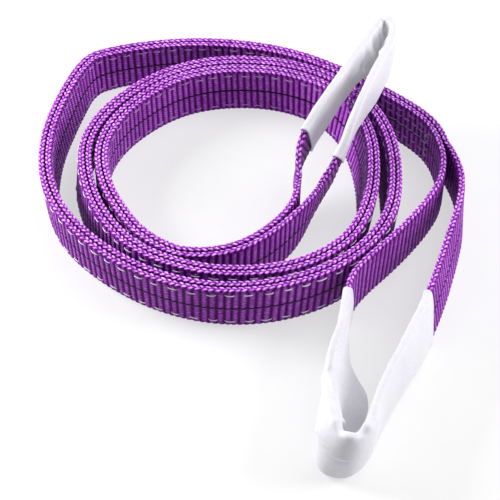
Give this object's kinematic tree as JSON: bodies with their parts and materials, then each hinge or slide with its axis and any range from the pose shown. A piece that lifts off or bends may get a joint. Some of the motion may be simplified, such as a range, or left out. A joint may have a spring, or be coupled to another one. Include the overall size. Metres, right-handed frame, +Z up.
{
  "type": "flat web sling",
  "caption": "Two-ply purple polyester flat web lifting sling with a white wear sleeve on each flat eye, coiled on its edge with the ends free to open out.",
  "frame": {"origin": "bottom centre of the coiled sling's bounding box, on the surface it stands on", "axes": "+Z up along the webbing's width, +Y from the eye loops lying out in front towards the back of the coil, +X to the right seen from the front"},
  "size_m": [0.2412, 0.3118, 0.0664],
  "materials": {
    "webbing": "ribbed woven polyester, satin",
    "sleeve": "smooth coated polyester, matt",
    "thread": "twisted polyester thread",
    "label": "coated tape, matt"
  },
  "bodies": {
    "coil": {"inner_turn_inside_ply": "webbing", "inner_turn_outside_ply": "webbing", "middle_turn_inside_ply": "webbing", "middle_turn_outside_ply": "webbing", "outer_turn_inside_ply": "webbing", "outer_turn_outside_ply": "webbing", "coil_edge_seams": "thread", "inner_throat_stitching": "thread"},
    "tail": {"tail_inside_ply": "webbing", "tail_outside_ply": "webbing", "tail_edge_seams": "thread", "outer_throat_stitching": "thread"},
    "outer_eye": {"outer_eye_webbing": "webbing", "outer_eye_sleeve": "sleeve"},
    "inner_eye": {"inner_eye_webbing": "webbing", "inner_eye_sleeve": "sleeve", "rating_label": "label"}
  },
  "joints": [
    {"name": "tail_bend", "type": "hinge", "parent": "coil", "child": "tail", "pos_m": [-0.10061, 0.13249, 0.015], "axis": [0, 0, 1], "range_deg": [0, 20]},
    {"name": "outer_eye_bend", "type": "hinge", "parent": "tail", "child": "outer_eye", "pos_m": [0.11034, 0.05979, 0.015], "axis": [0, 0, 1], "range_deg": [0, 25]},
    {"name": "inner_eye_bend", "type": "hinge", "parent": "coil", "child": "inner_eye", "pos_m": [-0.04566, -0.02491, 0.015], "axis": [0, 0, 1], "range_deg": [0, 18]}
  ]
}
